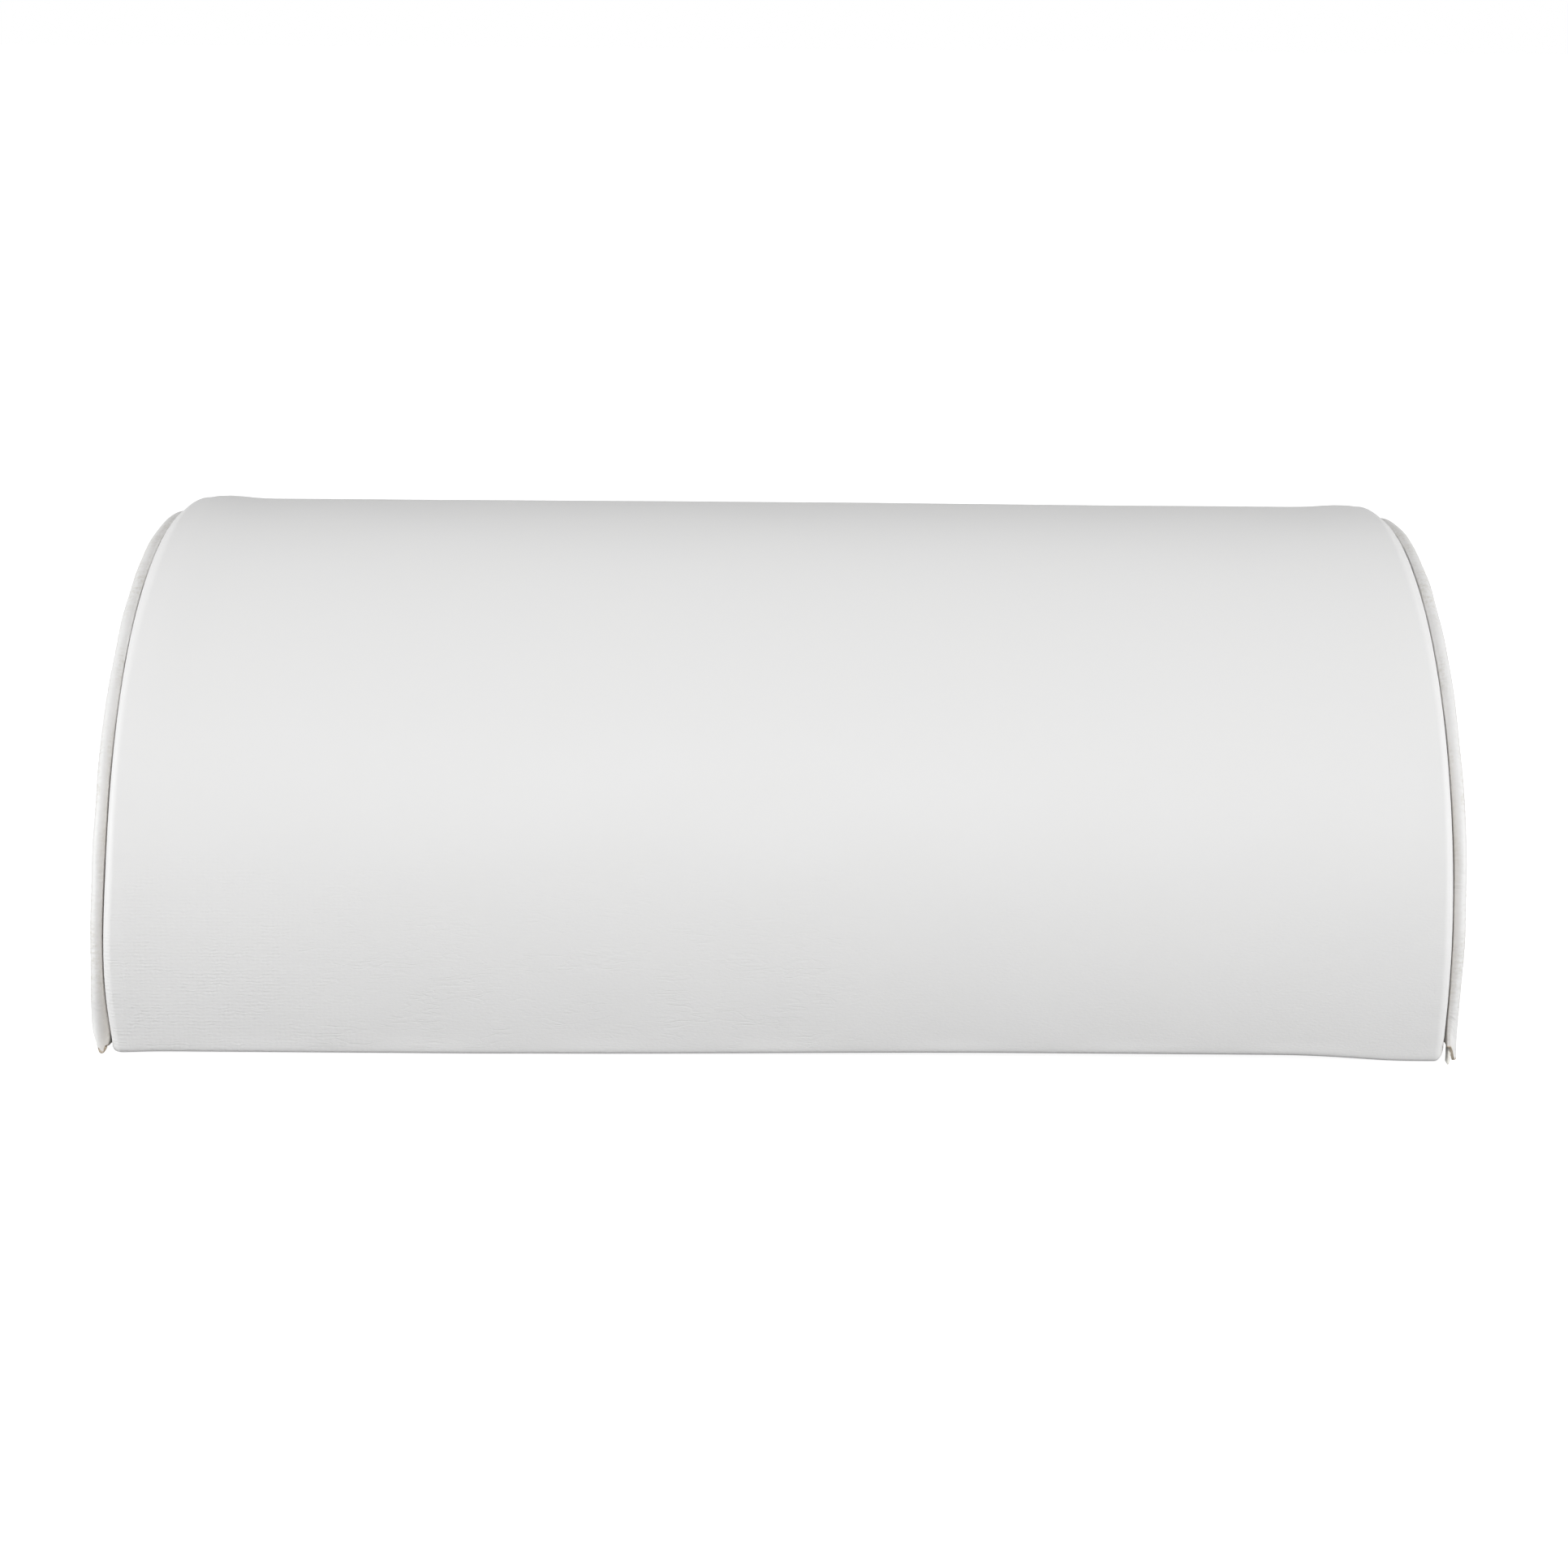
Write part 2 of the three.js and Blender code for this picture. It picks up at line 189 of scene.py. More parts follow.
def foam_block():
    """A cylinder of foam with the round edges of its two ends shaved off, sawn in half along the board."""
    low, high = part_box("foam_core")
    half_length = high.x - foam_short
    bpy.ops.object.select_all(action="DESELECT")
    bpy.ops.mesh.primitive_cylinder_add(
        vertices=160, radius=high.z - foam_gap, depth=2 * half_length, rotation=(0, math.pi / 2, 0)
    )
    bpy.ops.object.transform_apply(location=True, rotation=True, scale=True)
    piece = name_new("foam_block")
    bpy.ops.object.mode_set(mode="EDIT")
    bpy.ops.mesh.select_mode(type="EDGE")
    bpy.ops.mesh.select_all(action="DESELECT")
    bpy.ops.object.mode_set(mode="OBJECT")
    for edge in piece.data.edges:
        ends = [piece.data.vertices[index].co for index in edge.vertices]
        edge.select = all(abs(end.x) > half_length - 0.00001 for end in ends) and ends[0].x * ends[1].x > 0
    bpy.ops.object.mode_set(mode="EDIT")
    bpy.ops.mesh.bevel(offset=foam_edge, segments=6, affect="EDGES")
    bpy.ops.mesh.select_mode(type="VERT")
    bpy.ops.mesh.select_all(action="SELECT")
    bpy.ops.mesh.bisect(plane_co=(0, 0, low.z), plane_no=(0, 0, 1), clear_inner=True, use_fill=True)
    bpy.ops.mesh.select_all(action="SELECT")
    bpy.ops.mesh.normals_make_consistent(inside=False)
    bpy.ops.object.mode_set(mode="OBJECT")
    bpy.ops.object.shade_smooth_by_angle(angle=math.radians(30))
    return piece


foam = foam_block()
foam.data.materials.append(foam_material())
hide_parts("foam_core")
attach(foam, "root")
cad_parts["base_board"].data.materials.clear()
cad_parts["base_board"].data.materials.append(plywood_material())


# ---- Arch cover ----
# One rectangle of white coated fabric, a knit backing under a soft skin, pulled over the foam.
# Its sides turn down over the foam's rounded ends into the seams. Its two long hems go under the board.

pad_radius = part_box("cover_panel")[1].z
hem_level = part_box("cover_panel")[0].z
fabric_thickness = 0.001
shoulder_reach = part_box("piping_strip_right")[1].x - 0.0032
half_shoulder = math.radians(40)
seam_turn = math.radians(55)
seam_turn_radius = 0.0009
seam_allowance = 0.0025
fold_radius = 0.0011
hem_width = 0.022
hem_belly = 0.0004
hem_drawn_up = 0.0007
hem_tucked = 0.0005
swelling = 0.0004
staple_spacing = 0.038
staple_dip = 0.00025
crown_rise = 0.00032
corner_rise_left, corner_rise_right = 0.0007, 0.0005
corner_place, corner_width = 0.1385, 0.0055


def follow(distance, stretches):
    """Places along a path that sets out ahead and turns down, in stretches of (length, radians turned).
    Gives the way ahead, the way down and the heading at each distance."""
    ahead, down, heading = (np.zeros_like(distance) for _ in range(3))
    start, x, y, angle = 0.0, 0.0, 0.0, 0.0
    for length, turn in stretches:
        here = distance >= start
        for run, place in ((distance[here] - start, here), (np.array([length]), None)):
            facing = angle + turn * run / length
            if turn:
                radius = length / turn
                moved_x = x + radius * (np.sin(facing) - math.sin(angle))
                moved_y = y + radius * (math.cos(angle) - np.cos(facing))
            else:
                moved_x = x + run * math.cos(angle)
                moved_y = y + run * math.sin(angle)
            if place is not None:
                ahead[place] = moved_x
                down[place] = moved_y
                heading[place] = facing
        start, x, y, angle = start + length, moved_x[0], moved_y[0], facing[0]
    return ahead, down, heading


def smooth(value, low, high):
    """0 where value is under low, 1 where it is over high, and smooth between them."""
    share = np.clip((value - low) / (high - low), 0, 1)
    return share * share * (3 - 2 * share)


def waves(place, length, seed):
    """Slow random waves from -1 to 1 along a distance, a few of them around the given length."""
    draw = np.random.default_rng(seed)
    return sum(
        np.sin(2 * math.pi * (place / (length * stretch) + draw.random())) / 3
        for stretch in (1.0, 0.62, 1.7)
    )


def sheet_of_cloth(name, across, along):
    """A flat grid with one column for each place across and one row for each place along.
    Gives the piece and each vertex's place across and along."""
    bpy.ops.object.select_all(action="DESELECT")
    bpy.ops.mesh.primitive_grid_add(
        x_subdivisions=len(across) - 1, y_subdivisions=len(along) - 1, size=1, location=(0, 0, 0)
    )
    piece = name_new(name)
    grid = points_of(piece) + 0.5
    columns = np.rint(grid[:, 0] * (len(across) - 1)).astype(int)
    rows = np.rint(grid[:, 1] * (len(along) - 1)).astype(int)
    return piece, np.asarray(across)[columns], np.asarray(along)[rows]


def points_of(piece):
    """The piece's vertices as an array, one row each."""
    flat = np.zeros(len(piece.data.vertices) * 3)
    piece.data.vertices.foreach_get("co", flat)
    return flat.reshape(-1, 3)


def move_points(piece, points):
    piece.data.vertices.foreach_set("co", np.asarray(points, np.float32).ravel())
    piece.data.update()


def pick(piece):
    """Selects the piece alone, and makes it the active one."""
    bpy.ops.object.select_all(action="DESELECT")
    bpy.context.view_layer.objects.active = piece
    piece.select_set(True)


@contextlib.contextmanager
def all_selected():
    """Edit mode on the active piece, with the whole of it selected."""
    bpy.ops.object.mode_set(mode="EDIT")
    bpy.ops.mesh.select_all(action="SELECT")
    yield
    bpy.ops.object.mode_set(mode="OBJECT")


def face_outwards(piece):
    """Turns the cloth's faces over where they look towards the middle of the pad."""
    pick(piece)
    outwards = sum(face.area * face.normal.dot(face.center) for face in piece.data.polygons)
    if outwards < 0:
        with all_selected():
            bpy.ops.mesh.flip_normals()


def mark_lie(piece, across, along, from_seam):
    """Keeps where each point lay when the cloth was cut: across, along, and its distance from the seam."""
    lie = piece.data.attributes.new("lie", "FLOAT_VECTOR", "POINT")
    places = np.column_stack([across, along, from_seam])
    lie.data.foreach_set("vector", places.astype(np.float32).ravel())


def lie_of(piece):
    """What mark_lie() kept, as three arrays."""
    flat = np.zeros(len(piece.data.vertices) * 3)
    piece.data.attributes["lie"].data.foreach_get("vector", flat)
    return flat.reshape(-1, 3).T


def swell(piece, held, pressure, most):
    """Blows the cloth out a little, as the foam under it does. held is 1 where it is sewn or stapled."""
    rest = points_of(piece)
    group = piece.vertex_groups.new(name="held")
    for index, weight in enumerate(held):
        group.add([index], float(weight), "REPLACE")
    cloth = piece.modifiers.new("cloth", "CLOTH")
    cloth.settings.vertex_group_mass = "held"
    cloth.settings.quality = 6
    cloth.settings.use_pressure = True
    cloth.settings.uniform_pressure_force = pressure
    cloth.settings.effector_weights.gravity = 0
    for step in range(1, 21):
        bpy.context.scene.frame_set(step)
    evaluated = piece.evaluated_get(bpy.context.evaluated_depsgraph_get())
    moved = np.array([vertex.co for vertex in evaluated.data.vertices]) - rest
    length = np.linalg.norm(moved, axis=1, keepdims=True)
    piece.modifiers.remove(cloth)
    piece.vertex_groups.remove(group)
    move_points(piece, rest + moved * most / np.maximum(length, most))
    bpy.context.scene.frame_set(1)


def apply_modifier(piece, kind, **settings):
    modifier = piece.modifiers.new(kind.lower(), kind)
    for name, value in settings.items():
        setattr(modifier, name, value)
    pick(piece)
    bpy.ops.object.modifier_apply(modifier=modifier.name)


def smooth_faces(piece):
    """Smooth shading, with the cut edges of the cloth left sharp."""
    sharp = math.radians(50)
    pick(piece)
    bpy.ops.object.shade_smooth_by_angle(angle=sharp)


def spread(*stops):
    """Places from stop to stop: each stop is (place, steps from the stop before it)."""
    places = [stops[0][0]]
    for (before, _), (place, steps) in zip(stops, stops[1:]):
        places += list(np.linspace(before, place, steps + 1)[1:])
    return np.array(places)


def both_ways(places):
    """The places, and their opposites before them."""
    return np.concatenate([-places[:0:-1], places])


def shoulder(upper_radius, slope, lower_radius, wall):
    """The cloth's way across, from the middle over the foam's rounded end and into the seam."""
    turned_down = [
        (upper_radius * half_shoulder, half_shoulder),
        (slope, 0.0),
        (lower_radius * half_shoulder, half_shoulder),
        (wall, 0.0),
        (seam_turn_radius * seam_turn, seam_turn),
        (seam_allowance, 0.0),
    ]
    ahead, _, _ = follow(np.linspace(0, 0.02, 400), turned_down)
    return [(shoulder_reach - ahead.max(), 0.0), *turned_down]


def joints_of(stretches):
    """The distances at which the stretches of a path start, and where the last one ends."""
    return np.cumsum([0.0] + [length for length, _ in stretches])


tight_shoulder = shoulder(0.0026, 0.0001, 0.0026, 0.0021)
wide_shoulder = shoulder(0.0025, 0.0020, 0.0022, 0.0014)
tight_joints = joints_of(tight_shoulder)
shoulder_start, shoulder_end, seam_line, half_width = tight_joints[[1, 5, 6, 7]]

base_angle = math.asin((hem_level + fold_radius) / pad_radius)
fold_start = (pad_radius - swelling) * (math.pi / 2 - base_angle)
fold_end = fold_start + fold_radius * (math.pi / 2 + base_angle)
half_girth = fold_end + hem_width
along_stretches = [
    (fold_start, math.pi / 2 - base_angle),
    (fold_end - fold_start, math.pi / 2 + base_angle),
    (hem_width, 0.0),
]


fabric_white = (0.80, 0.80, 0.80, 1)
to_ivory = 0.2
wale_pitch = 0.0011
course_pitch = 0.00076
stroke_size = (0.0013, 0.00042, 1.0)
crease_angle = math.radians(33)
crease_depth = 0.00003


def lie_on_cloth(start):
    """The place that mark_lie() kept, for a material."""
    return start.node("ShaderNodeAttribute", {"attribute_name": "lie"}, output="Vector")


def coated_fabric(name, colour, warmth, knit):
    """White coated fabric. A soft skin carries a fine grain, drawn out across the cloth.
    The knit backing shows through it near the left seam's lower end, and it is creased where it was pulled.
    warmth is how far the colour wanders to ivory, and knit how deep the backing shows, in metres."""
    material, start = begin_material(name)
    lie = lie_on_cloth(start)
    across, along = parts(lie, "XY")
    blotches = noise(lie, (0.03, 0.02, 1.0), 3.0)
    worked = 1 - between(fold_start - abs(along) + blotches * 0.02, 0.02, 0.065)
    patchy = between(noise(lie, (0.009, 0.006, 1.0)), 0.38, 0.62)

    # Short level strokes all over, and the backing's wales and courses near the left end.
    strokes = noise(lie, stroke_size, 1.0)
    fine = noise(lie, (0.0007, 0.0004, 1.0), 1.0)
    wander = noise(lie, (0.003, 0.002, 1.0)) * 0.0012
    broken = between(noise(lie, (0.0022, 0.0012, 1.0), 1.0), 0.38, 0.6)
    wales = start.maths("SINE", (across + wander) * (2 * math.pi / wale_pitch))
    courses = start.maths("SINE", (along + wander) * (2 * math.pi / course_pitch))
    corner = 1 - between(across, -0.125, -0.075)
    backing = (wales * 0.9 + courses) * worked * corner * (0.45 + 0.55 * patchy) * (0.2 + 0.8 * broken)

    # Creases that climb away from the fold, each dark line with a soft lip under it.
    inputs = {"Vector": lie, "Rotation": (0, 0, crease_angle), "Scale": (120, 620, 1)}
    turned = start.node("ShaderNodeMapping", {}, inputs)
    inputs = {"Vector": turned, "Scale": 1.0, "Detail": 1.0, "Distortion": 0.6}
    threads = start.node("ShaderNodeTexNoise", {}, inputs)
    line = 1 - between(abs(threads - 0.5), 0.0, 0.045)
    middle = 1 - between(abs(across + 0.045), 0.05, 0.085)
    creases = line * worked * middle * patchy

    height = (
        noise(lie, (0.012, 0.009, 1.0)) * 0.00005
        + strokes * (0.000004 + 0.000024 * worked)
        + fine * (0.000002 + 0.000034 * worked)
        + backing * knit
        - creases * crease_depth
    )
    ivory = blend(blotches * warmth, colour, (colour[0], colour[1] * 0.985, colour[2] * 0.95, 1))
    rough = 0.46 + 0.12 * blotches
    end_material(start, ivory, rough, height, {"Specular IOR Level": 0.42})
    return material


def seam_pull(front, height, most, reach, eased=0.0):
    """How far the maker's staples pulled a seam in at its lower ends, and eased it out above them."""
    height = np.maximum(height, 0)
    pulled = most * np.exp(-((height / reach) ** 1.5))
    at_front = pulled - eased * np.exp(-(((height - 0.022) / 0.014) ** 2))
    return np.where(front, at_front, 0.0006 * np.exp(-height / 0.011))


def cover_pull(front, height, right):
    """The same for the arch cover's own edge: short at the left end, and longer at the right."""
    left_pull = seam_pull(front, height, 0.0010, 0.008, 0.0004)
    return np.where(right, seam_pull(front, height, 0.0013, 0.026), left_pull)


def arch_cover():
    column = spread(*zip(tight_joints, (0, 26, 4, 1, 4, 2, 3, 2)))
    row = spread((0, 0), (fold_start, 50), (fold_end, 4), (half_girth, 7))
    piece, across, along = sheet_of_cloth("arch_cover", both_ways(column), both_ways(row))

    # The shoulder is tight at the front and the back, and wide over the crown, where the seam pulls less.
    wide = 1 - smooth(np.abs(along), 0.025, 0.08)
    tight_x, tight_drop, _ = follow(np.abs(across), tight_shoulder)
    wide_across = np.interp(np.abs(across), tight_joints, joints_of(wide_shoulder))
    wide_x, wide_drop, _ = follow(wide_across, wide_shoulder)
    x = tight_x + (wide_x - tight_x) * wide
    drop = tight_drop + (wide_drop - tight_drop) * wide
    ahead, down, heading = follow(np.abs(along), along_stretches)
    height = pad_radius - swelling - down
    near_seam = smooth(np.abs(across), shoulder_start - 0.012, shoulder_start)
    x = x - near_seam * cover_pull(along > 0, height, across > 0)

    # The seam's inner cloth stands straight again where it is folded under the board.
    folding = smooth(np.abs(along), fold_start - 0.001, fold_start + 0.001)
    seam_x = shoulder_reach - cover_pull(along > 0, height, across > 0)
    x = np.where(np.abs(across) > seam_line - 0.0004, x + (seam_x - x) * folding, x)

    # The drop is towards the arch's axis, and level in the fold. The mitred hem runs in from there.
    inwards = np.minimum(heading, math.pi / 2)
    ahead = ahead - drop * np.sin(inwards)
    height = height - drop * np.cos(inwards)
    into_hem = np.maximum(np.abs(along) - fold_end, 0) / hem_width
    hem_x = (shoulder_reach - hem_width) * np.abs(across) / half_width
    hem_ahead = pad_radius - hem_width
    x = x + (hem_x - x) * into_hem
    ahead = np.where(into_hem > 0, (ahead - hem_ahead) * (1 - into_hem) + hem_ahead, ahead)

    # The fold bellies below the hem. At the front it hangs at the corners, and is drawn up between them.
    fold = smooth(np.abs(along), fold_start - 0.004, fold_start) * (1 - smooth(into_hem, 0.02, 0.16))
    drawn_up = smooth(across, -0.06, 0.055) * (1 - smooth(across, 0.110, 0.136))
    hanging = 0.0001 * smooth(-across, 0.05, 0.07) + 0.0003 * smooth(-across, 0.136, 0.145)
    hanging = hanging + 0.0003 * smooth(across, 0.122, 0.136) - 0.0013 * smooth(across, 0.1446, 0.1472)
    belly = hem_belly + np.where(along > 0, hanging - hem_drawn_up * drawn_up, 0)
    height = height - belly * fold
    tucked = smooth(np.abs(along), fold_start - 0.002, fold_end) * fold
    ahead = ahead - np.where(along > 0, hem_tucked * drawn_up, 0) * tucked
    points = np.column_stack([np.sign(across) * x, -np.sign(along + 1e-12) * ahead, height])
    move_points(piece, points)
    face_outwards(piece)
    mark_lie(piece, across, along, seam_line - np.abs(across))
    held = np.maximum(
        smooth(np.abs(across), shoulder_start - 0.001, shoulder_end),
        smooth(np.abs(along), fold_start - 0.003, fold_start),
    )
    swell(piece, held, pressure=4.0, most=swelling)
    apply_modifier(piece, "SUBSURF", levels=1, render_levels=1, boundary_smooth="PRESERVE_CORNERS")
    shape_arch(piece)
    apply_modifier(piece, "SOLIDIFY", thickness=fabric_thickness, offset=-1)
    lay_hem_flat(piece)
    smooth_faces(piece)
    return piece


def lay_hem_flat(piece):
    """Under the board nothing of the hem hangs lower than its flat face."""
    points = points_of(piece)
    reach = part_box("dust_cloth")[1]
    beside = 0.0006
    under = (np.abs(points[:, 0]) < reach.x + beside) & (np.abs(points[:, 1]) < reach.y + beside)
    points[:, 2] = np.where(under, np.maximum(points[:, 2], hem_level), points[:, 2])
    move_points(piece, points)


def shape_arch(piece):
    """What the hands of the maker leave: a ridge over each seam's inner cloth, puckers along the seams,
    the foam's corners standing up near the ends, dips over the staples and slow waves in the foam."""
    points = points_of(piece)
    across, along, from_seam = lie_of(piece)
    girth = np.abs(along)
    on_arch = 1 - smooth(girth, fold_start - 0.002, fold_start)
    out = points / np.maximum(np.hypot(points[:, 1], points[:, 2]), 1e-6)[:, None]
    out[:, 0] = 0

    low_left = smooth(along, 0.105, 0.125) * (1 - smooth(along, 0.142, 0.152)) * (across < 0)
    ridge = smooth(from_seam, 0.0065, 0.0085) - smooth(from_seam, 0.0095, 0.0125)
    ridge = (0.00006 + 0.00022 * low_left) * ridge
    puckers = 0.00006 * waves(along, 0.0062, 3) * np.exp(-(((from_seam - 0.006) / 0.004) ** 2))
    standing = np.where(across < 0, corner_rise_left, corner_rise_right)
    corners = standing * np.exp(-(((np.abs(across) - corner_place) / corner_width) ** 2))
    corners = corners * (1 - smooth(girth, 0.03, 0.14))
    crown = crown_rise * (1 - smooth(across, 0.0, 0.1)) * (1 - smooth(girth, 0.04, 0.12))
    over_staples = 0.5 + 0.5 * np.cos(2 * math.pi * across / staple_spacing)
    dips = -staple_dip * over_staples * smooth(girth, fold_start - 0.02, fold_start)
    foam = 0.00012 * waves(across, 0.07, 5) * waves(along, 0.055, 6)
    lift = (ridge + puckers + corners + crown + dips + foam) * on_arch
    move_points(piece, points + out * lift[:, None])


arch = arch_cover()
arch.data.materials.append(coated_fabric("white_coated_fabric", fabric_white, to_ivory, 0.000022))
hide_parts("cover_panel")
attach(arch, "root")


# ---- End covers ----
# A half disc of the same fabric over each flat end of the foam, a little crowned by it.
# Its round edge turns back into the seam under the piping, and its straight edge is stapled under the board.

end_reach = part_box("end_panel_right")[1].x - 0.0001
end_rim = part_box("end_panel_right")[1].z - 0.0008
end_turn_radius = 0.001
end_turn = math.radians(135)
end_fold_radius = 0.0013
end_swelling = 0.0024


def end_cover(side):
    rim = end_rim - end_turn_radius
    rim_end = rim + end_turn_radius * end_turn
    reach = rim_end + seam_allowance
    outwards = spread((0, 0), (rim, 22), (rim_end, 5), (reach, 2))
    fold = end_fold_radius * math.pi / 2
    hem = hem_width - 0.002
    half_turn = spread((0, 0), (math.pi / 2, 32), (math.pi / 2 + fold, 3), (math.pi / 2 + fold + hem, 6))
    piece, out, turn = sheet_of_cloth(f"end_cover_{side}", outwards, both_ways(half_turn))

    stretches = [(rim, 0.0), (rim_end - rim, end_turn), (seam_allowance, 0.0)]
    radial, inwards, _ = follow(out, stretches)
    angle = np.clip(np.abs(turn), 0, math.pi / 2)
    past = np.abs(turn) - angle
    floor = hem_level + end_fold_radius
    y = radial * np.sin(angle)
    z = floor + radial * np.cos(angle) * (end_rim - floor) / end_rim

    # Past the straight edge the cloth folds under the board, and its ends are cut back as mitres.
    under = smooth(past, 0, fold)
    bend = np.clip(past / end_fold_radius, 0, math.pi / 2)
    into_hem = np.maximum(past - fold, 0)
    x = end_reach - inwards * (1 - under) - end_fold_radius * (1 - np.cos(bend)) - into_hem
    mitre = (end_rim - 0.003 - into_hem) * out / reach
    y = np.where(past > 0, y * (1 - under) + mitre * under, y)
    z = z - end_fold_radius * np.sin(bend)

    facing = 1 if side == "right" else -1
    move_points(piece, np.column_stack([facing * x, facing * np.sign(turn) * y, z]))
    mark_lie(piece, y * np.sign(turn), np.where(past > 0, -past, z), rim_end - out)
    with all_selected():
        bpy.ops.mesh.remove_doubles(threshold=0.00001)
        bpy.ops.mesh.normals_make_consistent(inside=False)
    face_outwards(piece)

    # It is held from the seam to a little inside the turn, and along its straight edge.
    from_turn = lie_of(piece)[2] - (rim_end - rim)
    above_floor = points_of(piece)[:, 2]
    held = np.maximum(1 - smooth(from_turn, 0.0, 0.004), 1 - smooth(above_floor, floor, floor + 0.003))
    swell(piece, held, pressure=3.0, most=end_swelling)
    apply_modifier(piece, "SUBSURF", levels=1, render_levels=1, boundary_smooth="PRESERVE_CORNERS")
    apply_modifier(piece, "SOLIDIFY", thickness=fabric_thickness, offset=-1)
    lay_hem_flat(piece)
    smooth_faces(piece)
    return piece


end_fabric = coated_fabric("end_coated_fabric", fabric_white, to_ivory, 0.000002)
for side in ("left", "right"):
    end = end_cover(side)
    end.data.materials.append(end_fabric)
    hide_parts(f"end_panel_{side}")
    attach(end, "root")


# ---- Piping ----
# A strip of thinner coated fabric wrapped round a cotton filler cord, its two edges sewn into the seam.
# It is squeezed between the two covers, and its ends are cut off with scissors at the base.

piping_radius = 0.002
strip_thickness = 0.0006
piping_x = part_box("piping_strip_right")[1].x - piping_radius
piping_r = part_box("piping_strip_right")[1].z - piping_radius + 0.0002
piping_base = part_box("piping_strip_right")[0].z
pressed_gap = strip_thickness / 2 + 0.0001
piping_steps = 640
tail_length = 0.0025
cut_end = 0.012
wrinkle_height = 0.000055
wander_across, wander_out = 0.00012, 0.00015
piping_pull = {"left": (-0.0004, 0.02), "right": (0.00185, 0.026)}
piping_forward = {"left": 0.0027, "right": 0.0018}


def spun(name, build, steps):
    """Makes a section in the plane of the base at the front, and turns it over the arch to the back."""
    bpy.ops.object.select_all(action="DESELECT")
    build()
    piece = name_new(name)
    with all_selected():
        bpy.ops.mesh.spin(
            steps=steps, dupli=False, angle=math.pi, use_auto_merge=False, center=(0, 0, 0), axis=(1, 0, 0)
        )
    return piece


def strip_section():
    """A circle round the cord, opened towards the seam, with the two edges drawn out into it."""
    middle = piping_radius - strip_thickness / 2
    bpy.ops.mesh.primitive_circle_add(vertices=28, radius=middle, location=(piping_x, -piping_r, 0))
    bpy.ops.object.transform_apply(location=True, rotation=True, scale=True)
    piece = bpy.context.object
    inwards = Vector((-math.sqrt(0.5), math.sqrt(0.5), 0))
    centre = Vector((piping_x, -piping_r, 0))
    bpy.ops.object.mode_set(mode="EDIT")
    bpy.ops.mesh.select_all(action="DESELECT")
    bpy.ops.object.mode_set(mode="OBJECT")
    inner = max(piece.data.vertices, key=lambda vertex: (vertex.co - centre).dot(inwards))
    inner.select = True
    bpy.ops.object.mode_set(mode="EDIT")
    bpy.ops.mesh.delete(type="VERT")
    bpy.ops.object.mode_set(mode="OBJECT")
    ends = sorted(piece.data.vertices, key=lambda vertex: -(vertex.co - centre).dot(inwards))[:2]
    for vertex in ends:
        vertex.select = True
    bpy.ops.object.mode_set(mode="EDIT")
    bpy.ops.mesh.extrude_vertices_move(TRANSFORM_OT_translate={"value": inwards * tail_length})
    bpy.ops.object.mode_set(mode="OBJECT")


def round_arch(points):
    """Each point's place along the arch's turn, from 0 at the front, and its distance from the axis."""
    return np.arctan2(np.abs(points[:, 2]), -points[:, 1]), np.hypot(points[:, 1], points[:, 2])


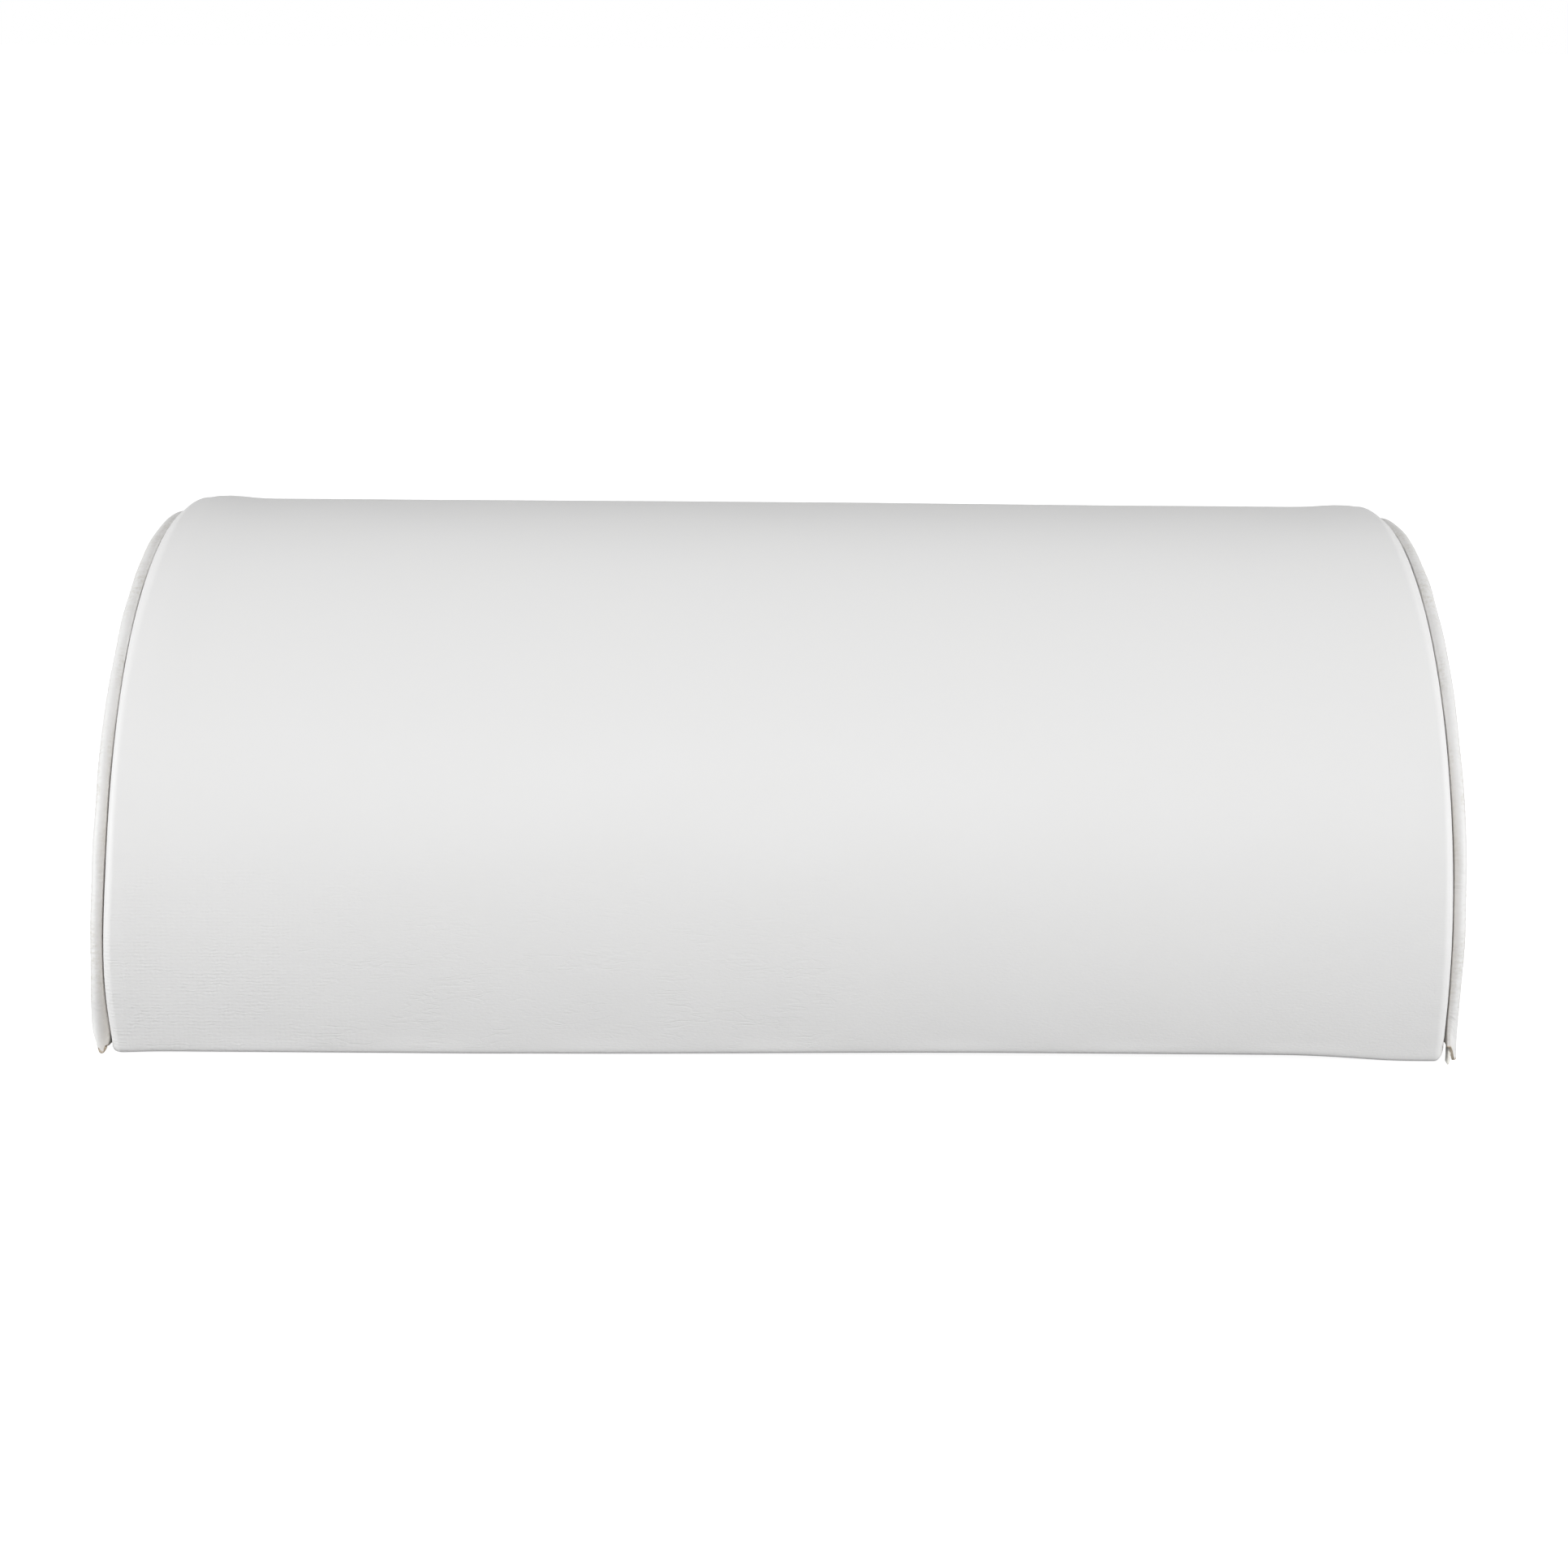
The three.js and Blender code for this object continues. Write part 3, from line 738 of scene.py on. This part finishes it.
def piping_strip(side):
    piece = spun(f"piping_{side}", strip_section, piping_steps)
    with all_selected():
        bpy.ops.mesh.normals_make_consistent(inside=False)
    points = points_of(piece)
    turn, r = round_arch(points)
    x = points[:, 0]
    along = turn * piping_r
    around = np.arctan2(r - piping_r, x - piping_x)
    from_cord = np.hypot(r - piping_r, x - piping_x)
    on_cord = from_cord < piping_radius * 1.05

    # Slow waves, and fine slanting wrinkles where the strip was eased round the curve.
    seed = 11 if side == "left" else 17
    eased = 0.35 + 0.65 * smooth(waves(along, 0.09, seed), -0.2, 0.6)
    if side == "right":
        eased = np.maximum(eased, 1 - smooth(along, 0.03, 0.09))
    wrinkle = waves(along + 0.0011 * around, 0.0021, seed + 1) * wrinkle_height * eased
    reach = np.where(on_cord, 1 + wrinkle / piping_radius, 1)
    x = piping_x + (x - piping_x) * reach + wander_across * waves(along, 0.03, seed + 2)
    r = piping_r + (r - piping_r) * reach + wander_out * waves(along, 0.024, seed + 3)

    facing = 1 if side == "right" else -1
    outwards = (x - piping_x) / piping_radius
    front = turn < math.pi / 2
    height = piping_base + (r - piping_base) * np.sin(turn)
    x = x - seam_pull(front, height, *piping_pull[side])

    # Each front end was cut with scissors: the left one to a point, and the right one has opened.
    if side == "left":
        cut = 0.0026 * smooth(outwards, -0.45, 1.0) + 0.0017 * smooth(-outwards, 0.45, 1.0)
    else:
        cut = 0.0034 * smooth(-outwards, -0.6, 0.0)
    low = 1 - np.clip((height - piping_base) / cut_end, 0, 1)
    above = np.maximum(height - piping_base, 0)
    forward = piping_forward[side] * low**4 * (1 - 0.5 * np.maximum(outwards, 0))
    r = r + np.where(front & on_cord, forward, 0)
    height = height + np.where(front, cut * low - 0.0004 * low**4, 0)
    if side == "left":
        flare = 0.0009 * np.minimum(outwards, 0) * np.exp(-above / 0.006)
        point = 0.0013 * (outwards + 0.2) * np.exp(-above / 0.0012)
        x = x + np.where(front & on_cord, flare - point, 0)
    else:
        x = x + np.where(front & on_cord, 0.0002 * (outwards + 0.4) * np.exp(-above / 0.003), 0)

    # It gives where the arch cover's wall presses on it.
    wall = shoulder_reach - cover_pull(front, height, side == "right")
    x = np.where(on_cord, np.maximum(x, wall + pressed_gap), x)
    move_points(piece, np.column_stack([facing * x, -r * np.cos(turn), height]))
    if facing < 0:
        with all_selected():
            bpy.ops.mesh.flip_normals()
    mark_lie(piece, around * piping_radius, along, np.minimum(along, math.pi * piping_r - along))
    apply_modifier(piece, "SOLIDIFY", thickness=strip_thickness, offset=0)
    smooth_faces(piece)
    return piece


def piping_fabric():
    """The strip's thinner fabric, a little warmer than the covers. Its inner flank in the seam's groove is
    painted darker and warmer as shade, and its cut ends are painted brown as shade and colour fringing at
    the raw edges.
    """
    material, start = begin_material("piping_coated_fabric")
    lie = lie_on_cloth(start)
    around, along, from_end = parts(lie, "XYZ")
    inputs = {"Vector": lie, "Rotation": (0, 0, math.radians(40)), "Scale": (400, 1300, 1)}
    turned = start.node("ShaderNodeMapping", {}, inputs)
    slanting = start.node("ShaderNodeTexNoise", {}, {"Vector": turned, "Scale": 1.0, "Detail": 1.0})
    grain = noise(lie, (0.0006, 0.0008, 1.0), 3.0)
    blotches = noise(lie, (0.004, 0.02, 1.0), 3.0)
    # Painted shade: the inner flank beside the seam is coloured darker and warmer, less so away from the
    # front ends.
    groove_shade = between(around + blotches * 0.001, 0.0026, 0.0052) * (1 - 0.7 * between(along, 0.04, 0.09))
    worn = between(slanting + grain, 0.85, 1.25) * between(blotches, 0.42, 0.6)
    white, groove_shade_colour, worn_skin, backing = (
        (0.785, 0.783, 0.778, 1), (0.68, 0.65, 0.615, 1), (0.58, 0.555, 0.49, 1), (0.42, 0.31, 0.18, 1)
    )
    colour = blend(worn * 0.5, blend(groove_shade, white, groove_shade_colour), worn_skin)
    # Painted shade: the last fraction of a millimetre at each cut end is coloured brown, as the shade and
    # colour fringing at the raw edges.
    cut = 1 - between(from_end, 0.0001, 0.0004)
    height = grain * 0.00004 + slanting * 0.00013
    end_material(start, blend(cut * 0.65, colour, backing), 0.5, height)
    return material


strip_fabric = piping_fabric()
for side in ("left", "right"):
    strip = piping_strip(side)
    strip.data.materials.append(strip_fabric)
    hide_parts(f"piping_strip_{side}")
    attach(strip, "root")


# ---- Filler cord ----
# Three strands of white cotton twisted together. It fills the piping, and shows only at the cut ends.

cord_gap = 0.00015
cord_radius = piping_radius - strip_thickness - cord_gap
cord_twist = 0.009
cord_steps = 600


def cord_section():
    bpy.ops.mesh.primitive_circle_add(vertices=24, radius=cord_radius, location=(piping_x, -piping_r, 0))
    bpy.ops.object.transform_apply(location=True, rotation=True, scale=True)


def filler_cord(side):
    piece = spun(f"filler_cord_{side}", cord_section, cord_steps)
    points = points_of(piece)
    turn, r = round_arch(points)
    along = turn * piping_r
    around = np.arctan2(r - piping_r, points[:, 0] - piping_x)
    strands = 0.86 + 0.14 * np.abs(np.cos(1.5 * (around + 2 * math.pi * along / cord_twist)))
    facing = 1 if side == "right" else -1
    x = piping_x + (points[:, 0] - piping_x) * strands
    r = piping_r + (r - piping_r) * strands
    height = piping_base + (r - piping_base) * np.sin(turn)
    front = turn < math.pi / 2
    x = x - seam_pull(front, height, *piping_pull[side])
    wall = shoulder_reach - cover_pull(front, height, side == "right")
    x = np.maximum(x, wall + pressed_gap + strip_thickness / 2 + 0.0001)

    # At the front the left cord is cut short inside its strip. The right one has come out as a flat tongue.
    low = np.where(front, np.exp(-(height - piping_base) / 0.003), 0)
    if side == "left":
        height = height + 0.0042 * low
    else:
        x = x - (x - piping_x + 0.0023) * 0.5 * low**2 - 0.0004 * low
        r = r + 0.0042 * low
        height = height - 0.0004 * low
    move_points(piece, np.column_stack([facing * x, -r * np.cos(turn), height]))
    mark_lie(piece, around * cord_radius, along, along)
    with all_selected():
        bpy.ops.mesh.fill_holes(sides=0)
        bpy.ops.mesh.normals_make_consistent(inside=False)
    smooth_faces(piece)
    return piece


def cotton():
    """Fine unbleached fibres along the cord, with painted grey shade between them, where their bump lies
    low.
    """
    material, start = begin_material("white_cotton_strands")
    fibres = noise(lie_on_cloth(start), (0.0002, 0.0016, 1.0), 4.0)
    # Painted shade: the colour turns grey where the fibres' bump lies low.
    colour = blend(fibres, (0.72, 0.70, 0.64, 1), (0.86, 0.85, 0.81, 1))
    end_material(start, colour, 0.85, fibres * 0.0001)
    return material


cord_cotton = cotton()
for side in ("left", "right"):
    cord = filler_cord(side)
    cord.data.materials.append(cord_cotton)
    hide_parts(f"piping_cord_{side}")
    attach(cord, "root")


# ---- Dust cloth ----
# A rectangle of black non-woven polypropylene with its corners cut off, bonded in a pattern of small dots.
# It covers the hems and the board, and is stapled round its edge with a little slack.

cloth_low, cloth_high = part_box("dust_cloth")
cloth_sheet = 0.00028
cloth_corner = 0.008
cloth_edge_waves = 0.0003
cloth_slack = 0.00007
cloth_staples = [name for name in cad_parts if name.startswith("cloth_staple")]


def dust_cloth():
    half_x, half_y = cloth_high.x, cloth_high.y
    piece, x, y = sheet_of_cloth(
        "dust_cloth_sheet", np.linspace(-half_x, half_x, 143), np.linspace(-half_y, half_y, 97)
    )
    flat_x, flat_y = x.copy(), y.copy()
    over = np.maximum(np.abs(x) + np.abs(y) - (half_x + half_y - cloth_corner), 0)
    x = x - np.sign(x) * over / 2
    y = y - np.sign(y) * over / 2
    edge = np.minimum(half_x - np.abs(flat_x), half_y - np.abs(flat_y))
    near_edge = np.exp(-edge / 0.006)
    x = x + np.sign(x) * cloth_edge_waves * waves(y, 0.03, 21) * near_edge
    y = y + np.sign(y) * cloth_edge_waves * waves(x, 0.03, 22) * near_edge
    slack = cloth_slack * waves(x, 0.05, 23) * waves(y, 0.04, 24)
    z = cloth_low.z + 0.0002 + np.minimum(slack, 0.00015)
    for name in cloth_staples:
        low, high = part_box(name)
        away = np.hypot(
            np.maximum(np.abs(x - (low.x + high.x) / 2) - (high.x - low.x) / 2, 0),
            np.maximum(np.abs(y - (low.y + high.y) / 2) - (high.y - low.y) / 2, 0),
        )
        z = np.maximum(z, low.z + 0.00052 - 0.00035 * smooth(away, 0.0004, 0.004))
    move_points(piece, np.column_stack([x, y, z]))
    mark_lie(piece, flat_x, flat_y, edge)
    with all_selected():
        bpy.ops.mesh.flip_normals()
    apply_modifier(piece, "SOLIDIFY", thickness=cloth_sheet, offset=-1)
    smooth_faces(piece)
    return piece


def non_woven():
    """Black spun-bonded fibres, pressed together in rows of small smooth dots."""
    dot_pitch = 0.0013
    material, start = begin_material("black_non_woven")
    lie = lie_on_cloth(start)
    column, row = (start.maths("SINE", part * (2 * math.pi / dot_pitch)) for part in parts(lie, "XY"))
    dots = column * row
    pressed = between(dots, 0.35, 0.7)
    fibres = noise(lie, (0.0003, 0.0012, 1.0), 5.0)
    colour = blend(fibres, (0.012, 0.012, 0.013, 1), (0.045, 0.045, 0.047, 1))
    rough = 0.92 - 0.35 * pressed
    end_material(start, colour, rough, fibres * 0.00006 - pressed * 0.00006)
    return material


cloth = dust_cloth()
cloth.data.materials.append(non_woven())
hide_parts("dust_cloth")
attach(cloth, "root")


# ---- Staples ----
# Fine galvanised wire staples. One row holds the hems to the board, and the other the cloth over them.


def galvanised_wire():
    material, start = begin_material("galvanised_wire")
    place = start.node("ShaderNodeTexCoord", output="Object")
    streaks = noise(place, (0.0004, 0.0004, 0.003), 3.0)
    colour = blend(streaks, (0.48, 0.49, 0.5, 1), (0.68, 0.69, 0.7, 1))
    end_material(start, colour, 0.28 + 0.2 * streaks, streaks * 0.00002, {"Metallic": 1.0})
    return material


wire = galvanised_wire()
for name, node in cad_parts.items():
    if "staple" in name:
        node.data.materials.clear()
        node.data.materials.append(wire)
        rounding = node.modifiers.new("rounded_wire", "BEVEL")
        rounding.width = 0.00012
        rounding.segments = 2


# ---- Floor, light and camera ----
# A white sweep, broad soft lights in front, at both sides and behind, and a camera a little above the pad.


floor_size, floor_level = 8, -0.00005
pad_middle = (0, 0, 0.05)
soft_box = (1.2, 0.9)


def stage_floor():
    """A pale floor that shows near white and throws little light back. From below it is clear."""
    bpy.ops.object.select_all(action="DESELECT")
    bpy.ops.mesh.primitive_plane_add(size=floor_size, location=(0, 0, floor_level))
    floor = bpy.context.object
    floor.name = "floor"
    material, start = begin_material("white_sweep")
    white = start.node("ShaderNodeBsdfDiffuse", {}, {"Color": (0.42, 0.42, 0.42, 1)})
    seen = start.node("ShaderNodeLightPath", output="Is Camera Ray")
    glow = start.node("ShaderNodeEmission", {}, {"Color": (1, 1, 1, 1), "Strength": seen * 0.9})
    lit = start.node("ShaderNodeAddShader", {}, {0: white, 1: glow})
    below = start.node("ShaderNodeNewGeometry", output="Backfacing")
    clear = start.node("ShaderNodeBsdfTransparent")
    shown = start.node("ShaderNodeMixShader", {}, {0: below, 1: lit, 2: clear})
    start.node("ShaderNodeOutputMaterial", {}, {"Surface": shown})
    floor.data.materials.append(material)


def soft_light(name, place, size, power):
    """A soft box turned to the middle of the pad. size is in metres, and power in watts."""
    bpy.ops.object.light_add(type="AREA", location=place)
    light = bpy.context.object
    light.name = name
    light.data.shape = "RECTANGLE"
    light.data.size, light.data.size_y = size
    light.data.energy = power
    light.rotation_euler = (Vector(pad_middle) - Vector(place)).to_track_quat("-Z", "Y").to_euler()


def white_room():
    world = bpy.data.worlds.new("white_room")
    bpy.context.scene.world = world
    world.use_nodes = True
    world.node_tree.nodes.clear()
    start = Socket(world.node_tree)
    seen = start.node("ShaderNodeLightPath", output="Is Camera Ray")
    around = start.node("ShaderNodeBackground", {}, {"Color": (1, 1, 1, 1), "Strength": 0.3})
    behind = start.node("ShaderNodeBackground", {}, {"Color": (1, 1, 1, 1), "Strength": 1.0})
    shown = start.node("ShaderNodeMixShader", {}, {0: seen, 1: around, 2: behind})
    start.node("ShaderNodeOutputWorld", {}, {"Surface": shown})


def look_at_pad():
    """The camera, about 0.7 m away and turned down to the middle of the pad."""
    bpy.ops.object.camera_add(location=(0.0017, -0.651, 0.2414))
    camera = bpy.context.object
    camera.name = "camera"
    camera.rotation_mode = "XYZ"
    down, turned, tilted = math.radians(17.93), math.radians(0.09), math.radians(0.37)
    aim = Euler((math.pi / 2 - down, 0, turned)).to_matrix() @ Euler((0, 0, tilted)).to_matrix()
    camera.rotation_euler = aim.to_euler()
    camera.data.lens = 63.1
    camera.data.sensor_width = 36
    bpy.context.scene.camera = camera


stage_floor()
white_room()
soft_light("front_light", (0, -1.41, 1.46), soft_box, 17.4)
soft_light("left_light", (-1.93, -0.41, 0.4), soft_box, 24)
soft_light("right_light", (1.93, -0.41, 0.4), soft_box, 23)
soft_light("back_light", (0, 1.15, 1.69), soft_box, 2.6)
soft_light("low_back_light", (0, 2.2, 0.14), (1.8, 0.2), 1.3)
look_at_pad()
bpy.context.scene.view_settings.view_transform = "Standard"
